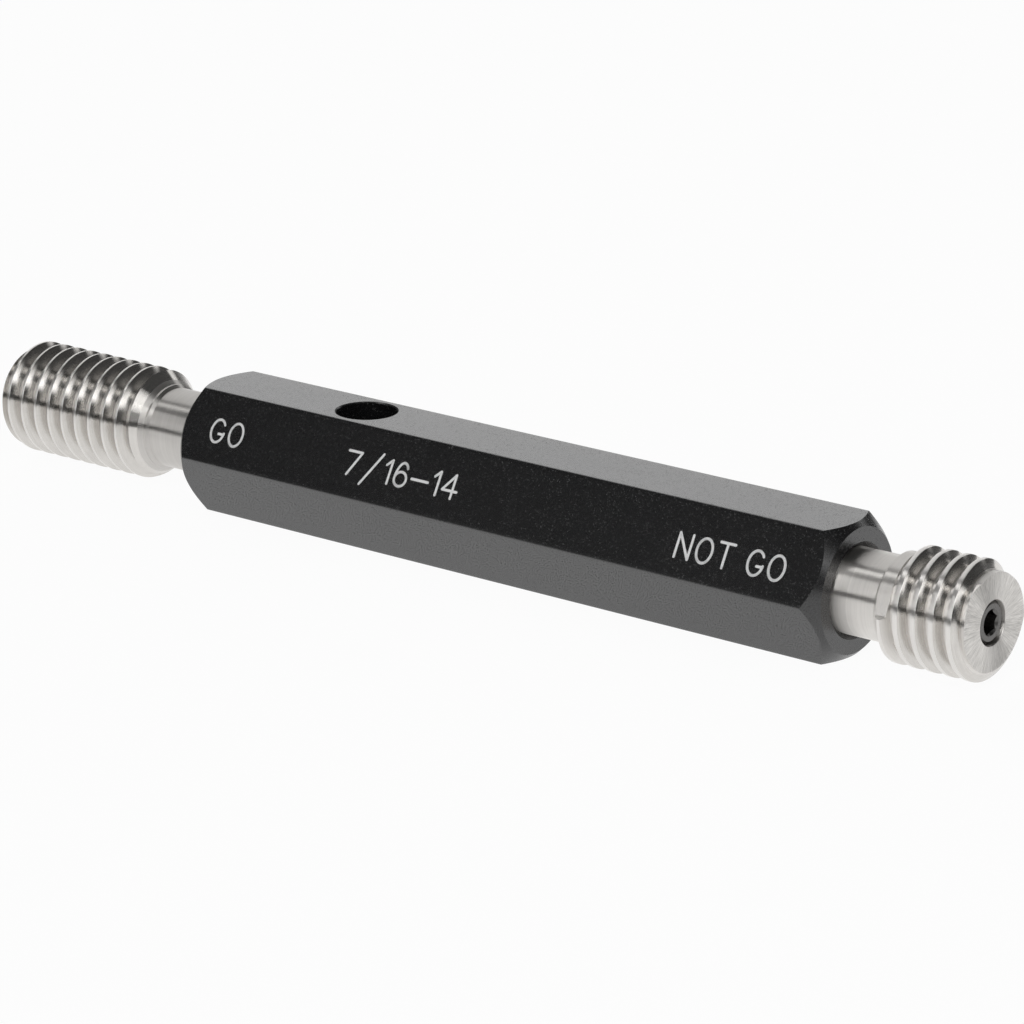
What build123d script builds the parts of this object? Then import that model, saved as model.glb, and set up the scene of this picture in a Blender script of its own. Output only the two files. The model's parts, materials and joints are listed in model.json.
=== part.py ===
"""Thread plug gauge: a double-ended gauge for a 7/16-14 threaded hole.

A black six-sided handle holds a GO thread plug at one end and a shorter NOT GO thread plug at the other.
Both plugs are hardened steel with a tapered shank that wedges into a tapered bore in the handle.

Frame, in millimetres: the origin is the middle of the whole gauge on the surface it rests on. +X points
along the gauge to the NOT GO end and +Z is up. The handle rests on one of its six flats. Angles round the
gauge's axis are in degrees, measured from the front (-Y) up over the top.
"""

from build123d import *

import math
import os

os.makedirs("parts", exist_ok=True)

# Lengths along the gauge
handle_length = 75.0
go_projection = 25.5
not_go_projection = 14.0

# Handle
across_flats = 12.5
long_edge_radius = 0.15
end_face_inset = 0.42
end_chamfer_angle = 45.0
mouth_chamfer = 0.49
drift_hole_diameter = 5.9
drift_hole_from_end = 18.8
drift_hole_edge_break = 0.12
bore_run_in = 0.3
knock_out_diameter = 3.2

# Tapered shanks, the same at both ends so that either plug fits either bore
neck_diameter = 7.94
shank_taper = 1 / 20
shank_end_gap = 0.15
shank_end_chamfer = 0.4

# Thread, 7/16 inch with 14 threads per inch, right-handed
threads_per_inch = 14
flank_angle = 60.0

# GO plug
go_major_diameter = 11.1125
go_crest_share = 1 / 8
go_root_flat = 0.3
go_tip_chamfer = 1.226
go_cone_from_handle = 8.0
go_cone_angle = 39.0
go_step_height = 0.28
go_step_length = 0.25
go_groove_from_cone = 0.48
go_run_out_angle = 240.0
centre_hole_diameter = 2.6
centre_hole_angle = 60.0

# NOT GO plug
not_go_major_diameter = 10.83
not_go_crest_share = 1 / 4
not_go_root_flat = 0.25
not_go_front_chamfer = 0.18
not_go_cone_from_handle = 5.5
not_go_cone_angle = 49.0
not_go_groove_from_cone = 0.47
front_land_height = 0.097
front_land_from = 195.0
front_land_to = 35.0
collar_height = 0.117
collar_from = 200.0
collar_to = 0.0

# Black plug screw in the NOT GO end face
screw_diameter = 4.17
screw_length = 4.8
screw_recess = 0.2
screw_edge_chamfer = 0.38
screw_hole_chamfer = 0.13
socket_across_flats = 2.0
socket_depth = 2.4
socket_turn = 15.0

# How far a cutter reaches past the metal that it takes away
cutter_overshoot = 0.1

# Places and sizes that follow from the ones above
pitch = 25.4 / threads_per_inch
flank_slope = math.tan(math.radians(flank_angle / 2))
overall_length = go_projection + handle_length + not_go_projection
axis_height = across_flats / 2
go_tip_x = -overall_length / 2
go_face_x = go_tip_x + go_projection
not_go_face_x = go_face_x + handle_length
not_go_end_x = overall_length / 2
drift_hole_x = go_face_x + drift_hole_from_end
drift_hole_wall = drift_hole_from_end - drift_hole_diameter / 2
bore_depth = drift_hole_wall + bore_run_in
shank_length = drift_hole_wall - shank_end_gap
neck_radius = neck_diameter / 2
radius_loss = shank_taper / 2

gauge_axis = Axis((0, 0, axis_height), (1, 0, 0))
side_plane = Plane(origin=(0, 0, axis_height), x_dir=(1, 0, 0), z_dir=(0, -1, 0))
cross_plane = Plane(origin=(0, 0, axis_height), x_dir=(0, 1, 0), z_dir=(1, 0, 0))


def shank_outline(face_x, inward):
    """Half outline of a tapered shank, from the handle's end face to the shank's small end."""
    chamfer_start = shank_length - shank_end_chamfer
    chamfer_radius = neck_radius - chamfer_start * radius_loss
    return [
        (face_x, neck_radius),
        (face_x + inward * chamfer_start, chamfer_radius),
        (face_x + inward * shank_length, chamfer_radius - shank_end_chamfer),
        (face_x + inward * shank_length, 0),
    ]


def bore_outline(face_x, inward):
    """Half outline of a tapered bore with its chamfered mouth."""
    mouth_edge_radius = neck_radius - mouth_chamfer * radius_loss
    return [
        (face_x, 0),
        (face_x, neck_radius + mouth_chamfer),
        (face_x + inward * mouth_chamfer, mouth_edge_radius),
        (face_x + inward * bore_depth, neck_radius - bore_depth * radius_loss),
        (face_x + inward * bore_depth, 0),
    ]


def groove_depth(crest_flat, root_flat):
    """Depth of a thread groove between a crest and a root of these widths."""
    return (pitch - crest_flat - root_flat) / 2 / flank_slope


def groove_outline(major_radius, crest_flat, root_flat):
    """Outline of one thread groove, from its narrow root out past the crests."""
    half_root = root_flat / 2
    half_outer = (pitch - crest_flat) / 2 + cutter_overshoot * flank_slope
    root_radius = major_radius - groove_depth(crest_flat, root_flat)
    outer_radius = major_radius + cutter_overshoot
    return [
        (-half_root, root_radius),
        (half_root, root_radius),
        (half_outer, outer_radius),
        (-half_outer, outer_radius),
    ]


def helical_cutter(outline, start_x, start_angle, turn, radius):
    """Sweeps an outline of (along, radius) points along a right-hand helix that starts at start_angle.

    The angle round the axis falls as the helix runs towards +X.
    """
    centre = Vector(start_x, 0, axis_height)
    path = Helix(
        pitch=pitch,
        height=pitch * turn / 360,
        radius=radius,
        center=tuple(centre),
        direction=(1, 0, 0),
    )
    outward = (path @ 0 - centre).normalized()
    outline_plane = Plane(origin=centre, x_dir=(1, 0, 0), z_dir=Vector(1, 0, 0).cross(outward))
    with BuildPart() as cutter:
        with BuildSketch(outline_plane):
            with BuildLine():
                Polyline(*outline, close=True)
            make_face()
        sweep(path=path, is_frenet=True)
    path_angle = math.degrees(math.atan2(outward.Z, -outward.Y))
    return cutter.part.rotate(gauge_axis, path_angle - start_angle)


def thread_cutters(outline, start_x, turn, radius):
    """Cutters for a long thread groove that starts over the axis, one for each turn, laid end to end."""
    cutters = []
    done = 0
    while done < turn:
        step = min(360, turn - done)
        cutters.append(helical_cutter(outline, start_x + pitch * done / 360, 90, step, radius))
        done += step
    return cutters


# Handle: six-sided bar with turned ends, two tapered bores, a bore between them and the drift hole
end_face_radius = across_flats / 2 - end_face_inset
turning_radius = across_flats / math.sqrt(3) + cutter_overshoot
end_chamfer_length = (turning_radius - end_face_radius) / math.tan(math.radians(end_chamfer_angle))
drift_hole_radius = drift_hole_diameter / 2
drift_hole_plane = Plane(origin=(drift_hole_x, 0, axis_height), x_dir=(0, -1, 0), z_dir=(-1, 0, 0))

with BuildPart() as handle:
    with BuildSketch(cross_plane.offset(go_face_x)):
        hexagon = RegularPolygon(radius=across_flats / 2, side_count=6, major_radius=False)
        fillet(hexagon.vertices(), radius=long_edge_radius)
    extrude(amount=handle_length)
    with BuildSketch(side_plane):
        with BuildLine():
            Polyline(
                (go_face_x, 0),
                (go_face_x, end_face_radius),
                (go_face_x + end_chamfer_length, turning_radius),
                (not_go_face_x - end_chamfer_length, turning_radius),
                (not_go_face_x, end_face_radius),
                (not_go_face_x, 0),
                close=True,
            )
        make_face()
    revolve(axis=gauge_axis, mode=Mode.INTERSECT)
    with BuildSketch(side_plane):
        for face_x, inward in ((go_face_x, 1), (not_go_face_x, -1)):
            with BuildLine():
                Polyline(*bore_outline(face_x, inward), close=True)
            make_face()
    revolve(axis=gauge_axis, mode=Mode.SUBTRACT)
    with BuildSketch(cross_plane.offset(go_face_x + bore_depth)):
        Circle(knock_out_diameter / 2)
    extrude(amount=handle_length - 2 * bore_depth, mode=Mode.SUBTRACT)
    with BuildSketch(drift_hole_plane):
        with BuildLine():
            Polyline(
                (0, -axis_height),
                (drift_hole_radius + drift_hole_edge_break, -axis_height),
                (drift_hole_radius, -axis_height + drift_hole_edge_break),
                (drift_hole_radius, axis_height - drift_hole_edge_break),
                (drift_hole_radius + drift_hole_edge_break, axis_height),
                (0, axis_height),
                close=True,
            )
        make_face()
    revolve(axis=Axis((drift_hole_x, 0, 0), (0, 0, 1)), mode=Mode.SUBTRACT)

handle.part.label = "handle"
export_step(handle.part, "parts/handle.step")

# GO plug: long sharp-crested thread, rear cone, small step, neck and tapered shank in one piece of steel
go_radius = go_major_diameter / 2
go_cone_x = go_face_x - go_cone_from_handle
go_step_radius = neck_radius + go_step_height
go_step_x = go_cone_x + (go_radius - go_step_radius) / math.tan(math.radians(go_cone_angle))
centre_hole_radius = centre_hole_diameter / 2
centre_hole_depth = centre_hole_radius / math.tan(math.radians(centre_hole_angle / 2))

go_groove = groove_outline(go_radius, pitch * go_crest_share, go_root_flat)
go_groove_x = go_cone_x - go_groove_from_cone
go_turns = math.ceil((go_groove_x - go_tip_x) / pitch)
go_thread_start = go_groove_x - go_turns * pitch
go_cutters = thread_cutters(go_groove, go_thread_start, go_turns * 360 + go_run_out_angle, go_radius)

with BuildPart() as go_member:
    with BuildSketch(side_plane):
        with BuildLine():
            Polyline(
                (go_tip_x + centre_hole_depth, 0),
                (go_tip_x, centre_hole_radius),
                (go_tip_x, go_radius - go_tip_chamfer),
                (go_tip_x + go_tip_chamfer, go_radius),
                (go_cone_x, go_radius),
                (go_step_x, go_step_radius),
                (go_step_x + go_step_length, go_step_radius),
                (go_step_x + go_step_length + go_step_height, neck_radius),
                *shank_outline(go_face_x, 1),
                close=True,
            )
        make_face()
    revolve(axis=gauge_axis)
    for cutter in go_cutters:
        add(cutter, mode=Mode.SUBTRACT)

go_member.part.label = "go_member"
export_step(go_member.part, "parts/go_member.step")

# NOT GO plug: short thread with wide crests, and a tapped hole for the plug screw
not_go_radius = not_go_major_diameter / 2
not_go_cone_x = not_go_face_x + not_go_cone_from_handle
not_go_cone_length = (not_go_radius - neck_radius) / math.tan(math.radians(not_go_cone_angle))
screw_radius = screw_diameter / 2
screw_hole_depth = screw_recess + screw_length

not_go_crest_flat = pitch * not_go_crest_share
not_go_groove = groove_outline(not_go_radius, not_go_crest_flat, not_go_root_flat)
rear_groove_x = not_go_cone_x + not_go_groove_from_cone
not_go_pitches = (not_go_end_x - rear_groove_x) / pitch
not_go_turns = math.ceil(not_go_pitches) + 2
not_go_cutters = thread_cutters(not_go_groove, rear_groove_x - pitch, not_go_turns * 360, not_go_radius)

# The part-formed crest is cut down to a plain land in front of the thread and to a collar behind it,
# so that each end of the thread starts with a blunt full crest
not_go_root_radius = not_go_radius - groove_depth(not_go_crest_flat, not_go_root_flat)
front_land_radius = not_go_root_radius + front_land_height
collar_radius = not_go_root_radius + collar_height
blunt_cut_length = 1.5 * pitch
blunt_cut_radius = not_go_radius + cutter_overshoot
front_groove_x = rear_groove_x + math.floor(not_go_pitches) * pitch
front_land = [
    (0, front_land_radius),
    (blunt_cut_length, front_land_radius),
    (blunt_cut_length, blunt_cut_radius),
    (0, blunt_cut_radius),
]
collar = [
    (-blunt_cut_length, collar_radius),
    (0, collar_radius),
    (0, blunt_cut_radius),
    (-blunt_cut_length, blunt_cut_radius),
]
front_start_x = front_groove_x - pitch * (front_land_from - 90) / 360
rear_start_x = rear_groove_x - pitch * (collar_from - 90) / 360
front_turn = front_land_from - front_land_to
rear_turn = collar_from - collar_to
not_go_cutters.append(helical_cutter(front_land, front_start_x, front_land_from, front_turn, not_go_radius))
not_go_cutters.append(helical_cutter(collar, rear_start_x, collar_from, rear_turn, not_go_radius))

with BuildPart() as not_go_member:
    with BuildSketch(side_plane):
        with BuildLine():
            Polyline(
                (not_go_end_x - screw_hole_depth, 0),
                (not_go_end_x - screw_hole_depth, screw_radius),
                (not_go_end_x - screw_hole_chamfer, screw_radius),
                (not_go_end_x, screw_radius + screw_hole_chamfer),
                (not_go_end_x, not_go_radius - not_go_front_chamfer),
                (not_go_end_x - not_go_front_chamfer, not_go_radius),
                (not_go_cone_x, not_go_radius),
                (not_go_cone_x - not_go_cone_length, neck_radius),
                *shank_outline(not_go_face_x, -1),
                close=True,
            )
        make_face()
    revolve(axis=gauge_axis)
    for cutter in not_go_cutters:
        add(cutter, mode=Mode.SUBTRACT)

not_go_member.part.label = "not_go_member"
export_step(not_go_member.part, "parts/not_go_member.step")

# Plug screw: black socket screw that closes the tapped hole in the NOT GO end face
screw_face_x = not_go_end_x - screw_recess

with BuildPart() as plug_screw:
    with BuildSketch(side_plane):
        with BuildLine():
            Polyline(
                (screw_face_x, 0),
                (screw_face_x, screw_radius - screw_edge_chamfer),
                (screw_face_x - screw_edge_chamfer, screw_radius),
                (screw_face_x - screw_length, screw_radius),
                (screw_face_x - screw_length, 0),
                close=True,
            )
        make_face()
    revolve(axis=gauge_axis)
    with BuildSketch(cross_plane.offset(screw_face_x)):
        RegularPolygon(
            radius=socket_across_flats / 2,
            side_count=6,
            major_radius=False,
            rotation=socket_turn,
        )
    extrude(amount=-socket_depth, mode=Mode.SUBTRACT)

plug_screw.part.label = "plug_screw"
export_step(plug_screw.part, "parts/plug_screw.step")
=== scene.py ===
"""Thread plug gauge, dressed for its portrait: a black handle with a GO plug and a NOT GO plug.

Sizes are in millimetres and become metres as each mesh is made. Angles round the gauge's axis are in
degrees, measured from the front (-Y) up over the top, as in the part's own source.
"""

import json
import math

import bmesh
import bpy
import numpy as np
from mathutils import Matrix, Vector


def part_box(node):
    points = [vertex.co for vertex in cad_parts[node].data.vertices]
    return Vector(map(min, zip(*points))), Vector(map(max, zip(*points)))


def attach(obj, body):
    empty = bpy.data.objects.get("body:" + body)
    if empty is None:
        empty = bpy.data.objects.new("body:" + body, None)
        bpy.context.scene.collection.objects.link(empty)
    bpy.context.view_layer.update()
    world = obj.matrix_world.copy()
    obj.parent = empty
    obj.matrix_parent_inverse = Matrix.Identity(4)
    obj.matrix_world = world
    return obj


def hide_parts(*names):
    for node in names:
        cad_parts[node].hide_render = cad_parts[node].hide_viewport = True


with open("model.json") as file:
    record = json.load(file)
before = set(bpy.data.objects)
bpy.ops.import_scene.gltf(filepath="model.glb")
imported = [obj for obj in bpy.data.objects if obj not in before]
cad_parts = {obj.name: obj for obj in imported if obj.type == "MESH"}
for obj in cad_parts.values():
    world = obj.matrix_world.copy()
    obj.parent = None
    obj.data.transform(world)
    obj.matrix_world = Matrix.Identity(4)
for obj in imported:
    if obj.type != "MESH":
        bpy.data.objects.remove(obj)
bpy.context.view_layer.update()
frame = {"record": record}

MM = 0.001

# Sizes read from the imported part
handle_low, handle_high = [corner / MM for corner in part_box("handle")]
go_low, go_high = [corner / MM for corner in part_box("go_member")]
not_go_low, not_go_high = [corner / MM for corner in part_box("not_go_member")]
screw_low, screw_high = [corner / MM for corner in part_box("plug_screw")]
mounts = {mount["name"]: mount for mount in frame["record"]["mounts"]}

across_flats = handle_high.z - handle_low.z
axis_height = (handle_low.z + handle_high.z) / 2
drift_hole_x = mounts["drift_hole"]["pos_m"][0] / MM
drift_hole_radius = mounts["drift_hole"]["dims"]["r_mm"]
screw_radius = (screw_high.z - screw_low.z) / 2

# Handle, as in the part's source, its long edges a micrometre rounder to stay inside the solids' box
LONG_EDGE_RADIUS = 0.151
END_FACE_INSET = 0.42
MOUTH_CHAMFER = 0.49
EDGE_BREAK = 0.12
BORE_PAST_SHANK = 0.45
KNOCK_OUT_RADIUS = 1.6
NECK_RADIUS = 3.97
RADIUS_LOSS = 1 / 40
SHANK_END_CHAMFER = 0.4

# Threads, as in the part's source, with rounded crest edges
PITCH = 25.4 / 14
FLANK_SLOPE = math.tan(math.radians(30))
CREST_ROUNDING = 0.045

GO_MAJOR = 11.1125 / 2
GO_CREST = PITCH / 8
GO_ROOT = 0.3
GO_TIP_RADIUS = 4.33
GO_CONE_FROM_HANDLE = 8.0
GO_CONE_SLOPE = math.tan(math.radians(39))
GO_STEP_RADIUS = 4.25
GO_STEP_LENGTH = 0.25
GO_GROOVE_FROM_CONE = 0.48
GO_RUN_OUT_ANGLE = 240
GO_FADE_ANGLE = 60
CENTRE_HOLE_RADIUS = 1.3
CENTRE_HOLE_SLOPE = math.tan(math.radians(30))

# The NOT GO thread's blunt ends rise more softly here than in the part's source, and the screw hole's edge
# is finer
NOT_GO_MAJOR = 10.83 / 2
NOT_GO_CREST = PITCH / 4
NOT_GO_ROOT = 0.25
NOT_GO_CHAMFER = 0.18
NOT_GO_CONE_FROM_HANDLE = 5.5
NOT_GO_CONE_SLOPE = math.tan(math.radians(49))
NOT_GO_GROOVE_FROM_CONE = 0.47
NOT_GO_FINISH_FROM_CONE = 0.85
LAND_HEIGHT = 0.097
LAND_FROM = 35
LAND_RISE_FROM = 30
LAND_TO = 210
LAND_RISE_TO = 80
COLLAR_HEIGHT = 0.117
COLLAR_FROM = 0
COLLAR_RISE_FROM = 2
COLLAR_FLAT_TO = 23
COLLAR_TO = 200
COLLAR_RISE_TO = 14
SCREW_HOLE_CHAMFER = 0.06
SCREW_HOLE_DEPTH = 5.0

# How finely round surfaces are cut, and what counts as straight in millimetres
ROUND_COLUMNS = 480
KINK_SAMPLES = 64
STRAIGHT = 1e-6
NO_BEND = 1e-7

# What counts as one point and as no length, in metres, and as a sharp edge, in degrees
SAME_POINT = 2e-7
NO_LENGTH = 1e-8
SHARP_ANGLE = 35


def link(obj):
    bpy.context.scene.collection.objects.link(obj)
    return obj


def shade(mesh, sharp_angle):
    """Smooth shading, with edges past an angle in degrees kept sharp."""
    mesh.shade_smooth()
    mesh.set_sharp_from_angle(angle=math.radians(sharp_angle))


def solid_piece(name, vertices, faces):
    """A closed mesh piece from points in millimetres, with doubles merged and normals facing out."""
    mesh = bpy.data.meshes.new(name)
    mesh.from_pydata((np.asarray(vertices, float) * MM).tolist(), [], faces)
    shape = bmesh.new()
    shape.from_mesh(mesh)
    bmesh.ops.remove_doubles(shape, verts=shape.verts, dist=SAME_POINT)
    bmesh.ops.dissolve_degenerate(shape, edges=shape.edges, dist=NO_LENGTH)
    bmesh.ops.recalc_face_normals(shape, faces=shape.faces)
    shape.to_mesh(mesh)
    shape.free()
    shade(mesh, SHARP_ANGLE)
    return link(bpy.data.objects.new(name, mesh))


def dress(piece, material, node):
    """Gives a piece its material, and its place on the frame instead of a node's plain solid."""
    piece.data.materials.clear()
    piece.data.materials.append(material)
    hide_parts(node)
    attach(piece, "root")


def on_circle(x, radius, turn):
    """Points at this place and radius round the axis, at angles in radians."""
    return np.stack([x, -radius * np.cos(turn), axis_height + radius * np.sin(turn)], axis=-1)


def ring_points(angles, places):
    """Rows of points round the axis, one row for each (x, radius); a radius may differ by column."""
    turn = np.radians(angles)
    rows = []
    for x, radius in places:
        rows.append(on_circle(np.broadcast_to(x, turn.shape), np.broadcast_to(radius, turn.shape), turn))
    return np.array(rows)


def grid_faces(first, rows, columns, shift=0):
    """Quads between the rows of a grid that closes round the axis, shift rows lower after each turn."""
    faces = []
    for row in range(rows - 1):
        for column in range(columns - 1):
            here = first + row * columns + column
            faces.append((here, here + 1, here + 1 + columns, here + columns))
        last = first + row * columns + columns - 1
        low = first + max(row - shift, 0) * columns
        high = first + max(row + 1 - shift, 0) * columns
        if low != high:
            faces.append((last, low, high, last + columns))
        elif shift:
            faces.append((last, low, last + columns))
    return faces


def merged_grids(grids):
    """One list of points and one of faces for several (rows, shift) grids of points."""
    vertices, faces = [], []
    for points, shift in grids:
        rows, columns, _ = points.shape
        faces += grid_faces(len(vertices), rows, columns, shift)
        vertices.extend(points.reshape(-1, 3))
    return vertices, faces


def groove_radius(offset, major, crest, root):
    """Radius of a thread at this distance from the nearest groove's middle, with rounded crest edges."""
    distance = np.abs(offset)
    corner = (PITCH - crest) / 2
    root_radius = major - (corner - root / 2) / FLANK_SLOPE
    radius = np.clip(root_radius + (distance - root / 2) / FLANK_SLOPE, root_radius, major)
    tangent = CREST_ROUNDING * FLANK_SLOPE
    centre = corner + tangent
    inside = np.clip(CREST_ROUNDING**2 - (distance - centre) ** 2, 0, None)
    arc = major - CREST_ROUNDING + np.sqrt(inside)
    on_arc = (distance > corner - tangent / 2) & (distance < centre)
    return np.where(on_arc, arc, radius)


def pitch_rows(crest, root):
    """Places of one pitch's rows from its groove's middle, with None for a row that seeks a kink."""
    corner = (PITCH - crest) / 2
    tangent = CREST_ROUNDING * FLANK_SLOPE
    arc = np.linspace(corner - tangent / 2, corner + tangent, 4)
    half = [root / 2, None, *arc]
    return [None if place is None else -place for place in reversed(half)] + half + [None]


def kink_between(radius_at, start, end, angles):
    """Where an outline bends most between two rows of places, for each column by itself."""
    share = np.linspace(0, 1, KINK_SAMPLES + 1)[:, None]
    samples = start + (end - start) * share
    values = radius_at(samples, np.broadcast_to(angles, samples.shape))
    straight = values[0] + (values[-1] - values[0]) * share
    away = np.abs(values - straight)
    place = np.where(away.max(axis=0) < STRAIGHT, KINK_SAMPLES // 2, np.argmax(away, axis=0))
    place = np.clip(place, 2, KINK_SAMPLES - 2)

    # The two straight stretches beside the bend meet at the kink itself
    column = np.arange(len(angles))
    before = values[place - 1, column] - values[place - 2, column]
    after = values[place + 2, column] - values[place + 1, column]
    gap = values[place + 1, column] - values[place - 1, column]
    bend = before - after
    steps = np.where(np.abs(bend) > NO_BEND, (gap - 2 * after) / np.where(bend == 0, 1, bend), 1)
    spot = place - 1 + np.clip(steps, 0, 2)
    return start + (end - start) * spot / KINK_SAMPLES


def thread_grid(radius_at, first_groove_x, crest, root, low_x, high_x, angles):
    """Points of a helical thread between two places, with rows where its outline bends, and its shift.

    radius_at(x, angle) gives the outline. first_groove_x is a groove's middle over the axis. The shift is
    how many rows lower the grid closes after each turn.
    """
    pattern = pitch_rows(crest, root)
    first = math.floor((low_x - first_groove_x) / PITCH) - 2
    last = math.ceil((high_x - first_groove_x) / PITCH) + 2
    places = []
    for turn in range(first, last):
        middle = first_groove_x + turn * PITCH
        places += [math.nan if place is None else middle + place for place in pattern]
    places = np.array(places[:-1])
    drop = PITCH * (angles - 90) / 360
    x = np.clip(places[:, None] - drop, low_x, high_x)
    for row in np.flatnonzero(np.isnan(places)):
        x[row] = kink_between(radius_at, x[row - 1], x[row + 1], angles)
    radius = radius_at(x, np.broadcast_to(angles, x.shape))
    return on_circle(x, radius, np.radians(angles)), len(pattern)


# Materials. Colours are the dark and pale ends of a range, and heights are in millimetres. A texture's
# scale is about how many of its marks fit in a metre, or in a radian for the strokes on the end faces.

NOISE_RANGE = (0.3, 0.7)

ANODISED_DARK = (0.003, 0.003, 0.0035, 1)
ANODISED_PALE = (0.0045, 0.0045, 0.005, 1)
ANODISED_ROUGHNESS = (0.22, 0.3)
ANODISED_IOR = 1.77
PATCH_SCALE = 90
GRAIN_SCALE = 9000
RAISED_GRAIN_SCALE = 12000
RAISED_FROM = 0.93
FINE_GRAIN_SHARE = 0.15
GRAIN_HEIGHT = 0.03

FINE_LINE_SCALE = 14000
FINE_LINE_SHARE = 0.6
BROAD_LINE_SCALE = 3500
BROAD_LINE_SHARE = 0.4
LINE_SHARE = 0.7
STEEL_PATCH_SCALE = 600
STEEL_PATCH_SHARE = 0.3
FACE_STROKE_SCALE = 60
FACE_STROKE_CHANGE = 12
FACE_STROKE_RANGE = (0.36, 0.64)
SHANK_DARK = 0.64
SHANK_PALE = 0.79
SHANK_GREEN = 0.97
SHANK_BLUE = 0.93
FLANK_DARK = (0.56, 0.54, 0.515, 1)
FLANK_PALE = (0.70, 0.68, 0.65, 1)
# The crests' paler colour is a painted highlight; their polish itself is real and set by their roughness
CREST_HIGHLIGHT_DARK = (0.72, 0.70, 0.675, 1)
CREST_HIGHLIGHT_PALE = (0.86, 0.84, 0.81, 1)
FACE_DARK = (0.44, 0.425, 0.405, 1)
FACE_PALE = (0.86, 0.84, 0.81, 1)
SHANK_ROUGHNESS = 0.35
FLANK_ROUGHNESS = 0.18
CREST_ROUGHNESS = 0.32
FACE_ROUGHNESS = 0.36
ROUGHNESS_SPREAD = 0.02
LINE_HEIGHT = 0.01
LINE_STRENGTH = 0.3

# A quarter turn sets the highlights' long way along the gauge's axis
HIGHLIGHT_TURN = 0.25

# Where one finish blends into the next, in millimetres: past the end face, past the thread's start, away
# from the axis, and past the crests' own radius
FACE_BLEND = (-0.02, -0.005)
THREAD_BLEND = (-0.02, 0.02)
THREAD_RADIUS_BLEND = (4.60, 4.64)
CREST_BLEND = (-0.035, -0.012)

OXIDE_DARK = (0.10, 0.097, 0.094, 1)
OXIDE_PALE = (0.17, 0.165, 0.16, 1)
OXIDE_ROUGHNESS = (0.25, 0.4)
OXIDE_GRAIN_SCALE = 6000
MARK_GRAIN_SCALE = 12000
MARK_DARK = 0.72
MARK_PALE = 0.92
MARK_ROUGHNESS = 0.6


class Tree:
    """Short calls for making and joining shader nodes."""

    def __init__(self, tree):
        self.tree = tree
        tree.nodes.clear()

    def add(self, kind, **settings):
        node = self.tree.nodes.new(kind)
        for name, value in settings.items():
            setattr(node, name, value)
        return node

    def feed(self, node, name, value):
        if isinstance(value, bpy.types.NodeSocket):
            self.tree.links.new(value, node.inputs[name])
        else:
            node.inputs[name].default_value = value

    def math(self, operation, first, second=0.0):
        node = self.add("ShaderNodeMath", operation=operation)
        self.feed(node, 0, first)
        self.feed(node, 1, second)
        return node.outputs[0]

    def combine(self, x, y, z):
        node = self.add("ShaderNodeCombineXYZ")
        for name, value in zip("XYZ", (x, y, z)):
            self.feed(node, name, value)
        return node.outputs[0]

    def noise(self, vector, scale, detail, roughness=0.5):
        node = self.add("ShaderNodeTexNoise")
        self.feed(node, "Vector", vector)
        self.feed(node, "Scale", scale)
        self.feed(node, "Detail", detail)
        self.feed(node, "Roughness", roughness)
        return node.outputs["Fac"]

    def ramp(self, value, low, high, to_low=0.0, to_high=1.0):
        node = self.add("ShaderNodeMapRange")
        self.feed(node, "Value", value)
        self.feed(node, "From Min", low)
        self.feed(node, "From Max", high)
        self.feed(node, "To Min", to_low)
        self.feed(node, "To Max", to_high)
        return node.outputs["Result"]

    def spread(self, noise, to_low=0.0, to_high=1.0):
        """A noise's usual values, spread over a range."""
        return self.ramp(noise, *NOISE_RANGE, to_low, to_high)

    def blend_over(self, value, edges):
        """0 before the first of two edges in millimetres and 1 past the second."""
        return self.ramp(value, edges[0] * MM, edges[1] * MM)

    def blend(self, factor, first, second):
        node = self.add("ShaderNodeMix", data_type="RGBA")
        self.feed(node, 0, factor)
        self.feed(node, 6, first)
        self.feed(node, 7, second)
        return node.outputs[2]

    def scalar_mix(self, factor, first, second):
        node = self.add("ShaderNodeMix", data_type="FLOAT")
        self.feed(node, 0, factor)
        self.feed(node, 2, first)
        self.feed(node, 3, second)
        return node.outputs[0]

    def sum_of(self, first, first_share, second, second_share):
        """Two values added, each times its share."""
        first = self.math("MULTIPLY", first, first_share)
        second = self.math("MULTIPLY", second, second_share)
        return self.math("ADD", first, second)

    def band(self, value, low, high, soft):
        """1 between low and high, 0 outside them, with edges that blend over soft each way."""
        rise = self.ramp(value, low - soft, low + soft)
        fall = self.ramp(value, high - soft, high + soft, 1.0, 0.0)
        return self.math("MULTIPLY", rise, fall)

    def bump(self, height, strength, distance):
        node = self.add("ShaderNodeBump")
        self.feed(node, "Height", height)
        self.feed(node, "Strength", strength)
        self.feed(node, "Distance", distance * MM)
        return node.outputs["Normal"]

    def place(self):
        """Object coordinates, in metres."""
        return self.add("ShaderNodeTexCoord").outputs["Object"]

    def round_axis(self, place):
        """x along the gauge and radius from its axis in metres, and the angle round it."""
        split = self.add("ShaderNodeSeparateXYZ")
        self.feed(split, "Vector", place)
        height = self.math("SUBTRACT", split.outputs["Z"], axis_height * MM)
        square = self.math("MULTIPLY", height, height)
        total = self.math("MULTIPLY_ADD", split.outputs["Y"], split.outputs["Y"])
        self.feed(total.node, 2, square)
        radius = self.math("SQRT", total)
        angle = self.math("ARCTAN2", height, split.outputs["Y"])
        return split.outputs["X"], radius, angle


def grey(level):
    return (level, level, level, 1.0)


def new_material(name):
    """A material with a Principled shader, as (material, shader, tree)."""
    material = bpy.data.materials.new(name)
    material.use_nodes = True
    tree = Tree(material.node_tree)
    output = tree.add("ShaderNodeOutputMaterial")
    shader = tree.add("ShaderNodeBsdfPrincipled")
    tree.feed(output, "Surface", shader.outputs["BSDF"])
    return material, shader, tree


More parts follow.
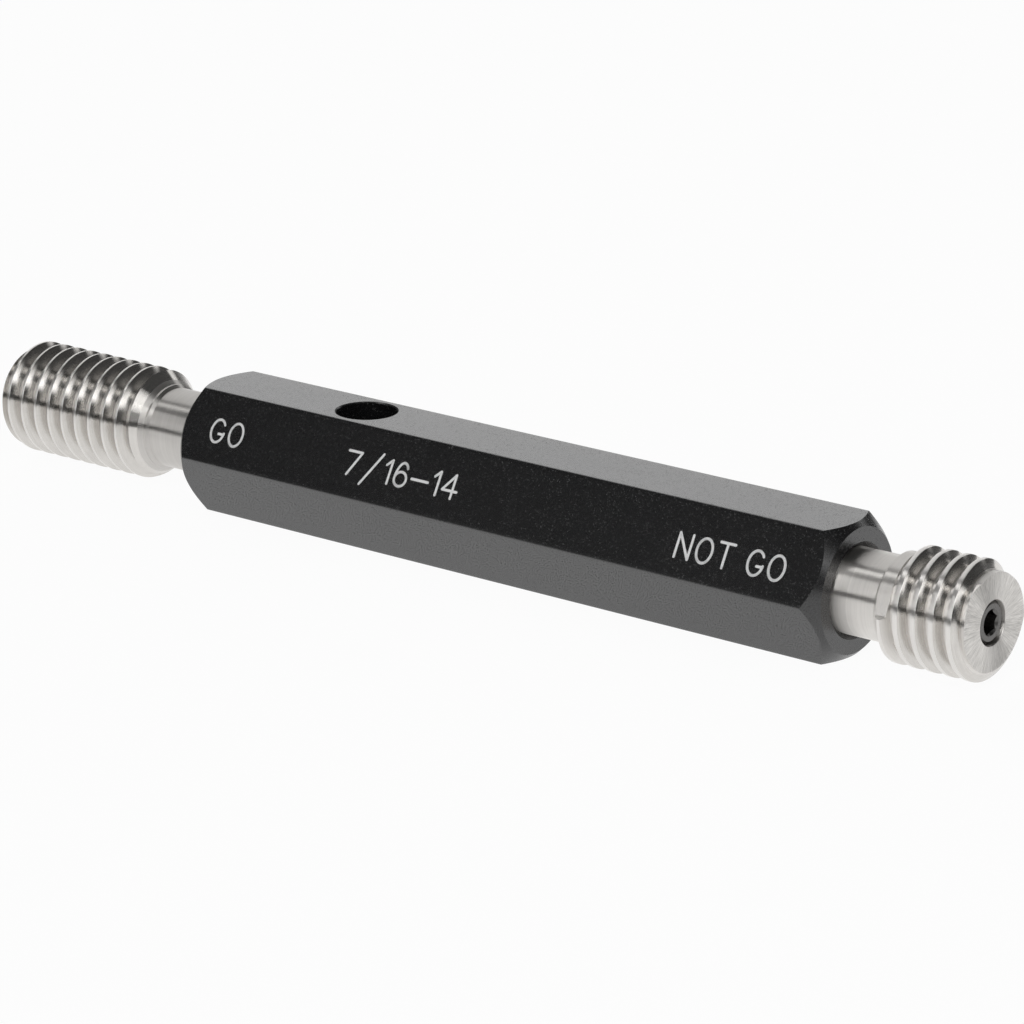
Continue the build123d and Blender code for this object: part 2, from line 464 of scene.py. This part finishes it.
def black_anodised():
    """Satin black anodised aluminium: smooth overall, with fine etched grains that catch the light."""
    material, shader, tree = new_material("black_anodised")
    place = tree.place()
    patches = tree.noise(place, PATCH_SCALE, detail=3)
    grain = tree.noise(place, GRAIN_SCALE, detail=2, roughness=0.7)
    tree.feed(shader, "Base Color", tree.blend(tree.spread(patches), ANODISED_DARK, ANODISED_PALE))
    tree.feed(shader, "Roughness", tree.spread(grain, *ANODISED_ROUGHNESS))
    tree.feed(shader, "IOR", ANODISED_IOR)
    cells = tree.add("ShaderNodeTexVoronoi")
    tree.feed(cells, "Vector", place)
    tree.feed(cells, "Scale", RAISED_GRAIN_SCALE)
    split = tree.add("ShaderNodeSeparateColor")
    tree.feed(split, "Color", cells.outputs["Color"])
    raised = tree.math("GREATER_THAN", split.outputs["Red"], RAISED_FROM)
    height = tree.math("MULTIPLY", cells.outputs["Distance"], raised)
    height = tree.math("ADD", height, tree.math("MULTIPLY", grain, FINE_GRAIN_SHARE))
    tree.feed(shader, "Normal", tree.bump(height, 1.0, GRAIN_HEIGHT))
    return material


def ground_steel(name, face_x, thread_x, outward, crest_radius, painted_shank_light):
    """Hardened steel, ground round its axis, with polished crests drawn paler as a painted highlight, and
    fine radial lines on its end face.

    The thread runs from thread_x to the end face at face_x. The last argument scales the ground shank's
    colour: painted shade below 1, painted light above 1.
    """
    material, shader, tree = new_material(name)
    place = tree.place()
    along, radius, angle = tree.round_axis(place)
    past_face = tree.math("MULTIPLY", tree.math("SUBTRACT", along, face_x * MM), outward)
    on_face = tree.blend_over(past_face, FACE_BLEND)
    past_thread = tree.math("MULTIPLY", tree.math("SUBTRACT", along, thread_x * MM), outward)
    on_thread = tree.blend_over(past_thread, THREAD_BLEND)
    on_thread = tree.math("MULTIPLY", on_thread, tree.blend_over(radius, THREAD_RADIUS_BLEND))
    on_crest = tree.blend_over(radius, [crest_radius + edge for edge in CREST_BLEND])

    rings = tree.combine(along, radius, 0.0)
    fine_lines = tree.noise(rings, FINE_LINE_SCALE, detail=3, roughness=0.6)
    broad_lines = tree.noise(rings, BROAD_LINE_SCALE, detail=2, roughness=0.6)
    turned = tree.sum_of(fine_lines, FINE_LINE_SHARE, broad_lines, BROAD_LINE_SHARE)
    outwards = tree.math("MULTIPLY", radius, FACE_STROKE_CHANGE)
    rays = tree.combine(tree.math("COSINE", angle), tree.math("SINE", angle), outwards)
    strokes = tree.noise(rays, FACE_STROKE_SCALE, detail=5, roughness=0.75)
    lines = tree.scalar_mix(on_face, turned, strokes)
    patches = tree.noise(place, STEEL_PATCH_SCALE, detail=3)
    paleness = tree.spread(tree.sum_of(lines, LINE_SHARE, patches, STEEL_PATCH_SHARE))

    # The shank's colour is scaled up as painted light or down as painted shade
    shank_dark, shank_pale = [
        (level * painted_shank_light, level * painted_shank_light * SHANK_GREEN, level * painted_shank_light * SHANK_BLUE, 1)
        for level in (SHANK_DARK, SHANK_PALE)
    ]
    shank = tree.blend(paleness, shank_dark, shank_pale)
    flank = tree.blend(paleness, FLANK_DARK, FLANK_PALE)
    # Crest colour: paler than the flanks as a painted highlight
    crest = tree.blend(paleness, CREST_HIGHLIGHT_DARK, CREST_HIGHLIGHT_PALE)
    face = tree.blend(tree.ramp(strokes, *FACE_STROKE_RANGE), FACE_DARK, FACE_PALE)
    colour = tree.blend(on_thread, shank, flank)
    colour = tree.blend(on_crest, colour, crest)
    colour = tree.blend(on_face, colour, face)
    tree.feed(shader, "Metallic", 1.0)
    tree.feed(shader, "Base Color", colour)

    rough = tree.scalar_mix(on_thread, SHANK_ROUGHNESS, FLANK_ROUGHNESS)
    rough = tree.scalar_mix(on_crest, rough, CREST_ROUGHNESS)
    rough = tree.scalar_mix(on_face, rough, FACE_ROUGHNESS)
    uneven = tree.spread(lines, -ROUGHNESS_SPREAD, ROUGHNESS_SPREAD)
    tree.feed(shader, "Roughness", tree.math("ADD", rough, uneven))
    tree.feed(shader, "Anisotropic", 1.0)
    tree.feed(shader, "Anisotropic Rotation", HIGHLIGHT_TURN)
    tangent = tree.add("ShaderNodeTangent", direction_type="RADIAL", axis="X")
    tree.feed(shader, "Tangent", tangent.outputs["Tangent"])
    tree.feed(shader, "Normal", tree.bump(lines, LINE_STRENGTH, LINE_HEIGHT))
    return material


def black_oxide():
    """Oxide-blackened steel, a little uneven."""
    material, shader, tree = new_material("black_oxide")
    grain = tree.noise(tree.place(), OXIDE_GRAIN_SCALE, detail=3)
    tree.feed(shader, "Metallic", 1.0)
    tree.feed(shader, "Base Color", tree.blend(grain, OXIDE_DARK, OXIDE_PALE))
    tree.feed(shader, "Roughness", tree.spread(grain, *OXIDE_ROUGHNESS))
    return material


def marking_white():
    """The pale, slightly grainy ground of the engraved marking."""
    material, shader, tree = new_material("marking_white")
    grain = tree.noise(tree.place(), MARK_GRAIN_SCALE, detail=2)
    tree.feed(shader, "Base Color", tree.blend(grain, grey(MARK_DARK), grey(MARK_PALE)))
    tree.feed(shader, "Roughness", MARK_ROUGHNESS)
    return material


# Handle

DRIFT_CUTTER_PAST = 0.5
DRIFT_CUTTER_COLUMNS = 128
HANDLE_SHARP_ANGLE = 25


def hexagon_outline():
    """Angles and radii of the handle's six-sided section, flats and rounded long edges, once round."""
    flat_steps = 20
    edge_steps = 6
    apothem = across_flats / 2
    corner = apothem - LONG_EDGE_RADIUS
    half_flat = corner * math.tan(math.radians(30))
    points = []
    for side in range(6):
        normal = math.radians(30 + 60 * side)
        for step in range(flat_steps):
            slide = half_flat * (2 * step / flat_steps - 1)
            points.append((apothem, slide, normal))
        for step in range(edge_steps):
            turn = math.radians(60 * step / edge_steps)
            out = corner + LONG_EDGE_RADIUS * math.cos(turn)
            slide = half_flat + LONG_EDGE_RADIUS * math.sin(turn)
            points.append((out, slide, normal))
    angles = [math.degrees(normal + math.atan2(slide, out)) for out, slide, normal in points]
    radii = [math.hypot(out, slide) for out, slide, _ in points]
    return np.array(angles), np.array(radii)


def make_handle():
    angles, radii = hexagon_outline()
    face_radius = across_flats / 2 - END_FACE_INSET
    bore_depth = go_high.x - handle_low.x + BORE_PAST_SHANK
    bore_end = NECK_RADIUS - bore_depth * RADIUS_LOSS
    mouth_edge = NECK_RADIUS - MOUTH_CHAMFER * RADIUS_LOSS
    places = []
    for face_x, inward in ((handle_low.x, 1), (handle_high.x, -1)):
        end = [
            (face_x + inward * bore_depth, KNOCK_OUT_RADIUS),
            (face_x + inward * bore_depth, bore_end),
            (face_x + inward * MOUTH_CHAMFER, mouth_edge),
            (face_x, NECK_RADIUS + MOUTH_CHAMFER),
            (face_x, face_radius),
            (face_x + inward * (radii - face_radius), radii),
        ]
        places += end if inward > 0 else list(reversed(end))
    places.append(places[0])
    handle = solid_piece("handle_body", *merged_grids([(ring_points(angles, places), 0)]))
    cut_drift_hole(handle)
    return handle


def drift_hole_cutter():
    """The drift hole's own form, wider outside both flats so that it breaks the hole's edges."""
    half = across_flats / 2
    wide = drift_hole_radius + EDGE_BREAK + DRIFT_CUTTER_PAST
    outline = [
        (half + DRIFT_CUTTER_PAST, 0.0),
        (half + DRIFT_CUTTER_PAST, wide),
        (half - EDGE_BREAK, drift_hole_radius),
        (-half + EDGE_BREAK, drift_hole_radius),
        (-half - DRIFT_CUTTER_PAST, wide),
        (-half - DRIFT_CUTTER_PAST, 0.0),
    ]
    turn = np.radians(np.arange(DRIFT_CUTTER_COLUMNS) * 360 / DRIFT_CUTTER_COLUMNS)
    rows = []
    for up, radius in outline:
        height = np.full(DRIFT_CUTTER_COLUMNS, axis_height + up)
        rows.append(np.stack([drift_hole_x + radius * np.cos(turn), radius * np.sin(turn), height], axis=1))
    return solid_piece("drift_hole_cutter", *merged_grids([(np.array(rows), 0)]))


def cut_drift_hole(handle):
    """Drills the drift hole down through the handle, with its edges broken."""
    cutter = drift_hole_cutter()
    cut = handle.modifiers.new("drift hole", "BOOLEAN")
    cut.object = cutter
    cut.operation = "DIFFERENCE"
    cut.solver = "EXACT"
    bpy.context.view_layer.update()
    graph = bpy.context.evaluated_depsgraph_get()
    mesh = bpy.data.meshes.new_from_object(handle.evaluated_get(graph))
    handle.modifiers.clear()
    handle.data = mesh
    shade(mesh, HANDLE_SHARP_ANGLE)
    bpy.data.objects.remove(cutter)


dress(make_handle(), black_anodised(), "handle")

# GO plug

# Painted shade: the GO shank's colour is darkened for the shade of the handle and thread beside it
GO_SHANK_PAINTED_SHADE = 0.85


def shank_places(face_x, end_x):
    """Places of a tapered shank's rows, from the handle's end face to its small end."""
    inward = math.copysign(1, end_x - face_x)
    chamfer_x = end_x - inward * SHANK_END_CHAMFER
    chamfer_radius = NECK_RADIUS - abs(chamfer_x - face_x) * RADIUS_LOSS
    return [
        (face_x, NECK_RADIUS),
        (chamfer_x, chamfer_radius),
        (end_x, chamfer_radius - SHANK_END_CHAMFER),
        (end_x, 0.0),
    ]


def make_go_plug():
    cone_x = handle_low.x - GO_CONE_FROM_HANDLE
    groove_x = cone_x - GO_GROOVE_FROM_CONE
    step_x = cone_x + (GO_MAJOR - GO_STEP_RADIUS) / GO_CONE_SLOPE
    root_depth = ((PITCH - GO_CREST) / 2 - GO_ROOT / 2) / FLANK_SLOPE
    run_out_x = groove_x + PITCH * GO_RUN_OUT_ANGLE / 360
    fade_length = PITCH * GO_FADE_ANGLE / 360
    angles = np.arange(ROUND_COLUMNS) * 360 / ROUND_COLUMNS

    def radius_at(x, angle):
        helix = (x + PITCH * (angle - 90) / 360 - groove_x) / PITCH
        offset = (helix - np.round(helix)) * PITCH
        middle = x - offset
        fade = np.clip((middle - run_out_x) / fade_length + 1, 0, 1)
        thread = groove_radius(offset, GO_MAJOR, GO_CREST, GO_ROOT)
        thread = np.minimum(thread + root_depth * fade, GO_MAJOR)
        tip = GO_TIP_RADIUS + (x - go_low.x)
        cone = GO_MAJOR - np.clip(x - cone_x, 0, None) * GO_CONE_SLOPE
        return np.minimum(np.minimum(thread, cone), tip)

    thread, shift = thread_grid(radius_at, groove_x, GO_CREST, GO_ROOT, go_low.x, step_x, angles)
    tip = [
        (go_low.x + CENTRE_HOLE_RADIUS / CENTRE_HOLE_SLOPE, 0.0),
        (go_low.x, CENTRE_HOLE_RADIUS),
        (go_low.x, GO_TIP_RADIUS),
    ]
    neck = [
        (step_x, GO_STEP_RADIUS),
        (step_x + GO_STEP_LENGTH, GO_STEP_RADIUS),
        (step_x + GO_STEP_LENGTH + GO_STEP_RADIUS - NECK_RADIUS, NECK_RADIUS),
        *shank_places(handle_low.x, go_high.x),
    ]
    grids = [(ring_points(angles, tip), 0), (thread, shift), (ring_points(angles, neck), 0)]
    return solid_piece("go_plug", *merged_grids(grids))


go_steel = ground_steel("go_steel", go_low.x, handle_low.x, -1, GO_MAJOR, GO_SHANK_PAINTED_SHADE)
dress(make_go_plug(), go_steel, "go_member")

# NOT GO plug

# Painted light: the NOT GO shank's colour is lightened
NOT_GO_SHANK_PAINTED_LIGHT = 1.06


def blunt_cut(radius, ceiling, x, turned, groove, outward, start, start_rise, end, end_rise):
    """Cuts the NOT GO crest outside a groove down to a ceiling, from one angle to another.

    The cut has a rise at each end, and follows the groove, which is at groove over the axis. turned is the
    angle past the start.
    """
    past = (x - groove + PITCH * (start + turned - 90) / 360) * outward > 0
    rise = np.maximum(1 - turned / start_rise, (turned - end + start) / end_rise + 1)
    ceiling = ceiling + (NOT_GO_MAJOR - ceiling) * np.clip(rise, 0, 1)
    return np.where(past, np.minimum(radius, ceiling), radius)


def make_not_go_plug():
    cone_x = handle_high.x + NOT_GO_CONE_FROM_HANDLE
    groove_x = cone_x + NOT_GO_GROOVE_FROM_CONE
    end_x = not_go_high.x
    root_radius = NOT_GO_MAJOR - ((PITCH - NOT_GO_CREST) / 2 - NOT_GO_ROOT / 2) / FLANK_SLOPE
    land = root_radius + LAND_HEIGHT
    collar = root_radius + COLLAR_HEIGHT
    front_groove_x = groove_x + math.floor((end_x - groove_x) / PITCH) * PITCH
    rear_x = cone_x - (NOT_GO_MAJOR - root_radius) / NOT_GO_CONE_SLOPE
    foot_x = cone_x - (NOT_GO_MAJOR - NECK_RADIUS) / NOT_GO_CONE_SLOPE
    land_cut = (front_groove_x, 1, LAND_FROM, LAND_RISE_FROM, LAND_TO, LAND_RISE_TO)
    collar_cut = (groove_x, -1, COLLAR_FROM, COLLAR_RISE_FROM, COLLAR_TO, COLLAR_RISE_TO)
    angles = np.arange(ROUND_COLUMNS) * 360 / ROUND_COLUMNS

    def radius_at(x, angle):
        helix = (x + PITCH * (angle - 90) / 360 - groove_x) / PITCH
        offset = (helix - np.round(helix)) * PITCH
        radius = groove_radius(offset, NOT_GO_MAJOR, NOT_GO_CREST, NOT_GO_ROOT)
        cone = NOT_GO_MAJOR - np.clip(cone_x - x, 0, None) * NOT_GO_CONE_SLOPE
        chamfer = NOT_GO_MAJOR - np.clip(x - end_x + NOT_GO_CHAMFER, 0, None)
        radius = np.minimum(np.minimum(radius, cone), chamfer)
        radius = blunt_cut(radius, land, x, (angle - LAND_FROM) % 360, *land_cut)
        turned = (angle - COLLAR_FROM) % 360
        before_round = np.clip(COLLAR_FLAT_TO - COLLAR_FROM - turned, 0, None)
        return blunt_cut(radius, collar / np.cos(np.radians(before_round)), x, turned, *collar_cut)

    thread, shift = thread_grid(radius_at, groove_x, NOT_GO_CREST, NOT_GO_ROOT, rear_x, end_x, angles)
    neck = [
        *reversed(shank_places(handle_high.x, not_go_low.x)),
        (foot_x, NECK_RADIUS),
        (rear_x, radius_at(np.full(angles.shape, rear_x), angles)),
    ]
    face = [
        (end_x, radius_at(np.full(angles.shape, end_x), angles)),
        (end_x, root_radius - LAND_HEIGHT),
        (end_x, screw_radius + SCREW_HOLE_CHAMFER),
        (end_x - SCREW_HOLE_CHAMFER, screw_radius),
        (end_x - SCREW_HOLE_DEPTH, screw_radius),
        (end_x - SCREW_HOLE_DEPTH, 0.0),
    ]
    grids = [(ring_points(angles, neck), 0), (thread, shift), (ring_points(angles, face), 0)]
    return solid_piece("not_go_plug", *merged_grids(grids))


thread_finish_x = handle_high.x + NOT_GO_CONE_FROM_HANDLE + NOT_GO_FINISH_FROM_CONE
not_go_steel = ground_steel("not_go_steel", not_go_high.x, thread_finish_x, 1, NOT_GO_MAJOR, NOT_GO_SHANK_PAINTED_LIGHT)
dress(make_not_go_plug(), not_go_steel, "not_go_member")

# Plug screw, as in the part's source, with a drill point under its socket

SCREW_EDGE_CHAMFER = 0.38
SCREW_COLUMNS = 144
SOCKET_ACROSS_FLATS = 2.0
SOCKET_DEPTH = 1.8
SOCKET_POINT = 0.6
SOCKET_MOUTH_RADIUS = 1.24
SOCKET_TURN = 15


def make_screw():
    angles = np.arange(SCREW_COLUMNS) * 360 / SCREW_COLUMNS
    from_flat = (angles + SOCKET_TURN) % 60 - 30
    socket = SOCKET_ACROSS_FLATS / 2 / np.cos(np.radians(from_flat))
    face_x = screw_high.x
    places = [
        (face_x - SOCKET_DEPTH - SOCKET_POINT, 0.0),
        (face_x - SOCKET_DEPTH, socket),
        (face_x - (SOCKET_MOUTH_RADIUS - socket), socket),
        (face_x, SOCKET_MOUTH_RADIUS),
        (face_x, screw_radius - SCREW_EDGE_CHAMFER),
        (face_x - SCREW_EDGE_CHAMFER, screw_radius),
        (screw_low.x, screw_radius),
        (screw_low.x, 0.0),
    ]
    return solid_piece("socket_screw", *merged_grids([(ring_points(angles, places), 0)]))


dress(make_screw(), black_oxide(), "plug_screw")

# Marking on the upper front flat: plain words for the two ends and the thread's plain numbers. Its strokes
# are flat patches, each laid a hair above the last.

STROKE_WIDTH = 0.26
MARK_HEIGHT = 0.004
PATCH_STEP = 0.00002
DISC_CORNERS = 20
LETTER_HEIGHT = 2.28
FLAT_TILT = math.radians(30)

SIZE_BASE = -1.38
END_BASE = -1.72
MARKINGS = {
    "marking_go": [("G", -27.87, SIZE_BASE), ("O", -25.56, SIZE_BASE)],
    "marking_size": [
        ("7", -10.93, SIZE_BASE),
        ("/", -8.7, SIZE_BASE),
        ("1", -6.17, SIZE_BASE),
        ("6", -4.93, SIZE_BASE),
        ("-", -2.92, SIZE_BASE),
        ("1", -0.37, SIZE_BASE),
        ("4", 0.82, SIZE_BASE),
    ],
    "marking_not_go": [
        ("N", 27.69, END_BASE),
        ("O", 29.84, END_BASE),
        ("T", 32.11, END_BASE),
        ("G", 35.37, END_BASE),
        ("O", 37.63, END_BASE),
    ],
}


def arc(centre_x, centre_y, radius_x, radius_y, start, end, steps):
    """Points of an elliptic arc, in shares of the letter's height; angles from +x, counterclockwise."""
    turns = np.radians(np.linspace(start, end, steps))
    return [(centre_x + radius_x * math.cos(turn), centre_y + radius_y * math.sin(turn)) for turn in turns]


def glyph_strokes():
    """Single-stroke plain capitals and numbers, in shares of the letter's height from its lower left."""
    round_width = 0.355
    six_back = arc(0.33, 0.305, 0.325, 0.695, 180, 92, 20) + arc(0.31, 0.72, 0.25, 0.28, 85, 15, 12)
    return {
        "G": [arc(round_width, 0.5, round_width, 0.5, 38, 352, 40) + [(0.70, 0.385), (0.43, 0.385)]],
        "O": [arc(round_width, 0.5, round_width, 0.5, 90, 450, 48)],
        "N": [[(0.0, 0.0), (0.0, 1.0), (0.635, 0.0), (0.635, 1.0)]],
        "T": [[(0.0, 1.0), (0.68, 1.0)], [(0.34, 1.0), (0.34, 0.0)]],
        "7": [[(0.0, 1.0), (0.7, 1.0), (0.19, 0.0)]],
        "/": [[(0.0, -0.28), (0.81, 1.15)]],
        "1": [[(0.0, 0.76), (0.25, 1.0), (0.25, 0.0)]],
        "6": [arc(0.31, 0.305, 0.305, 0.305, 180, 540, 40), six_back],
        "-": [[(0.0, 0.43), (0.85, 0.43)]],
        "4": [[(0.52, 0.0), (0.52, 1.0), (0.0, 0.31), (0.74, 0.31)]],
    }


def strips(path):
    """Corners of a flat strip along each straight bit of a path."""
    half = STROKE_WIDTH / 2
    patches = []
    for start, end in zip(path[:-1], path[1:]):
        start, end = np.array(start), np.array(end)
        along = (end - start) / np.linalg.norm(end - start)
        across = np.array([-along[1], along[0]]) * half
        patches.append([start - across, end - across, end + across, start + across])
    return patches


def disc(x, up):
    """Corners of a round patch for a stroke's joint or end."""
    half = STROKE_WIDTH / 2
    turns = [2 * math.pi * step / DISC_CORNERS for step in range(DISC_CORNERS)]
    return [(x + half * math.cos(turn), up + half * math.sin(turn)) for turn in turns]


def flat_point(x, up, out):
    """A point on the upper front flat, in metres: x along it, up across it, out from it."""
    away = across_flats / 2 + out
    y = -away * math.cos(FLAT_TILT) + up * math.sin(FLAT_TILT)
    z = axis_height + away * math.sin(FLAT_TILT) + up * math.cos(FLAT_TILT)
    return Vector((x, y, z)) * MM


def mark(name, text):
    """One line of marking: text is a list of (character, x, baseline)."""
    glyphs = glyph_strokes()
    patches = []
    for character, left, base in text:
        for stroke in glyphs[character]:
            path = [(left + x * LETTER_HEIGHT, base + y * LETTER_HEIGHT) for x, y in stroke]
            joints = path if path[0] != path[-1] else path[:-1]
            patches += strips(path) + [disc(x, up) for x, up in joints]
    shape = bmesh.new()
    for level, patch in enumerate(patches, start=1):
        lift = MARK_HEIGHT + PATCH_STEP * level
        shape.faces.new([shape.verts.new(flat_point(x, up, lift)) for x, up in patch])
    mesh = bpy.data.meshes.new(name)
    shape.to_mesh(mesh)
    shape.free()
    return link(bpy.data.objects.new(name, mesh))


white = marking_white()
for marking_name, marking_text in MARKINGS.items():
    marking = mark(marking_name, marking_text)
    marking.data.materials.append(white)
    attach(marking, "root")

# Floor: paper that keeps the gauge's shadow, mostly plain white where the camera sees it

FLOOR_HALF_SIZE = 3.0
FIBRE_SCALE = 300
FLOOR_CORNERS = ((-1, -1), (1, -1), (1, 1), (-1, 1))
FLOOR_WHITE_SHARE = 0.95
PAPER_DARK = 0.9
PAPER_PALE = 0.92


def make_floor():
    mesh = bpy.data.meshes.new("floor")
    corners = [(x * FLOOR_HALF_SIZE, y * FLOOR_HALF_SIZE, 0) for x, y in FLOOR_CORNERS]
    mesh.from_pydata(corners, [], [(0, 1, 2, 3)])
    floor = link(bpy.data.objects.new("floor", mesh))
    material = bpy.data.materials.new("floor")
    material.use_nodes = True
    tree = Tree(material.node_tree)
    output = tree.add("ShaderNodeOutputMaterial")
    paper = tree.add("ShaderNodeBsdfDiffuse")
    fibres = tree.noise(tree.place(), FIBRE_SCALE, detail=3)
    tree.feed(paper, "Color", tree.blend(fibres, grey(PAPER_DARK), grey(PAPER_PALE)))
    glow = tree.add("ShaderNodeEmission")
    tree.feed(glow, "Color", grey(1.0))
    tree.feed(glow, "Strength", 1.0)
    ray = tree.add("ShaderNodeLightPath")
    seen = tree.math("MULTIPLY", ray.outputs["Is Camera Ray"], FLOOR_WHITE_SHARE)
    mix = tree.add("ShaderNodeMixShader")
    tree.feed(mix, "Fac", tree.math("MAXIMUM", seen, ray.outputs["Is Glossy Ray"]))
    tree.feed(mix, 1, paper.outputs[0])
    tree.feed(mix, 2, glow.outputs[0])
    tree.feed(output, "Surface", mix.outputs[0])
    mesh.materials.append(material)


make_floor()

# Light: a dim room with soft lights in it, and a softbox in front on the right. Each light in the room has
# its level, a band across the gauge's axis and a band along it. A band is (low, high, soft edge). lift is
# degrees up from the front over the top, slant is lift leaning along the gauge, and height and the band
# along the axis are parts of a direction of length 1.

ROOM_LEVEL = 0.06
STRIP_LEAN = 41
ROOM_LIGHTS = {
    "wall on the left behind": (1.3, "lift", (91, 200, 4), (-0.8, -0.33, 0.07)),
    "panel in front": (4.6, "lift", (12, 51, 1.5), (0.01, 0.34, 0.04)),
    "strip high in front": (3.2, "slant", (51, 60.5, 1.5), (-0.6, -0.25, 0.04)),
    "strip behind": (1.3, "lift", (150, 160, 1.5), (-0.1, 0.3, 0.05)),
    "lamp on the right": (2.2, "height", (0.31, 0.5, 0.03), (0.87, 1.2, 0.02)),
    "low panel on the left in front": (1.2, "lift", (12, 30, 1.5), (-0.6, -0.44, 0.04)),
}
SOFTBOX_AZIMUTH = 59.0
SOFTBOX_ELEVATION = 44.0
SOFTBOX_DISTANCE = 0.75
SOFTBOX_WIDTH = 0.45
SOFTBOX_HEIGHT = 0.5
SOFTBOX_LEVEL = 1.45


def make_room():
    world = bpy.data.worlds.new("studio")
    world.use_nodes = True
    bpy.context.scene.world = world
    tree = Tree(world.node_tree)
    split = tree.add("ShaderNodeSeparateXYZ")
    tree.feed(split, "Vector", tree.add("ShaderNodeTexCoord").outputs["Generated"])
    side = split.outputs["X"]
    height = split.outputs["Z"]
    front = tree.math("MULTIPLY", split.outputs["Y"], -1.0)
    lift = tree.math("MULTIPLY", tree.math("ARCTAN2", height, front), 180 / math.pi)
    slant = tree.math("ADD", lift, tree.math("MULTIPLY", side, STRIP_LEAN))
    measures = {"lift": lift, "slant": slant, "height": height}
    level = ROOM_LEVEL
    for strength, measure, across, along in ROOM_LIGHTS.values():
        share = tree.math("MULTIPLY", tree.band(measures[measure], *across), tree.band(side, *along))
        level = tree.math("ADD", tree.math("MULTIPLY", share, strength), level)
    ray = tree.add("ShaderNodeLightPath")
    background = tree.add("ShaderNodeBackground")
    tree.feed(background, "Color", grey(1.0))
    tree.feed(background, "Strength", tree.math("MAXIMUM", level, ray.outputs["Is Camera Ray"]))
    tree.feed(tree.add("ShaderNodeOutputWorld"), "Surface", background.outputs[0])


def direction(azimuth, elevation):
    """Unit vector towards an azimuth from the front (-Y), positive towards +X, and an elevation."""
    turn, rise = math.radians(azimuth), math.radians(elevation)
    return Vector((math.sin(turn) * math.cos(rise), -math.cos(turn) * math.cos(rise), math.sin(rise)))


def make_softbox():
    light = bpy.data.lights.new("softbox", "AREA")
    light.shape = "RECTANGLE"
    light.size = SOFTBOX_WIDTH
    light.size_y = SOFTBOX_HEIGHT
    light.energy = SOFTBOX_LEVEL * math.pi * SOFTBOX_WIDTH * SOFTBOX_HEIGHT
    softbox = link(bpy.data.objects.new("softbox", light))
    away = direction(SOFTBOX_AZIMUTH, SOFTBOX_ELEVATION)
    softbox.location = away * SOFTBOX_DISTANCE
    softbox.rotation_euler = away.to_track_quat("Z", "Y").to_euler()
    softbox.visible_camera = False


make_room()
make_softbox()

# Camera, fitted to the photograph's view

CAMERA_AZIMUTH = 37.735
CAMERA_ELEVATION = 18.102
CAMERA_DISTANCE = 0.4053
CAMERA_TARGET = Vector((4.597, 0.0, 5.825)) * MM
CAMERA_LENS = 152.16
CAMERA_SENSOR = 36.0
CLIP_START = 0.01
CLIP_END = 20


def make_camera():
    data = bpy.data.cameras.new("camera")
    data.lens = CAMERA_LENS
    data.sensor_width = CAMERA_SENSOR
    data.clip_start = CLIP_START
    data.clip_end = CLIP_END
    camera = link(bpy.data.objects.new("camera", data))
    back = direction(CAMERA_AZIMUTH, CAMERA_ELEVATION)
    camera.location = CAMERA_TARGET + back * CAMERA_DISTANCE
    camera.rotation_euler = (-back).to_track_quat("-Z", "Y").to_euler()
    bpy.context.scene.camera = camera


make_camera()
bpy.context.scene.view_settings.view_transform = "Standard"
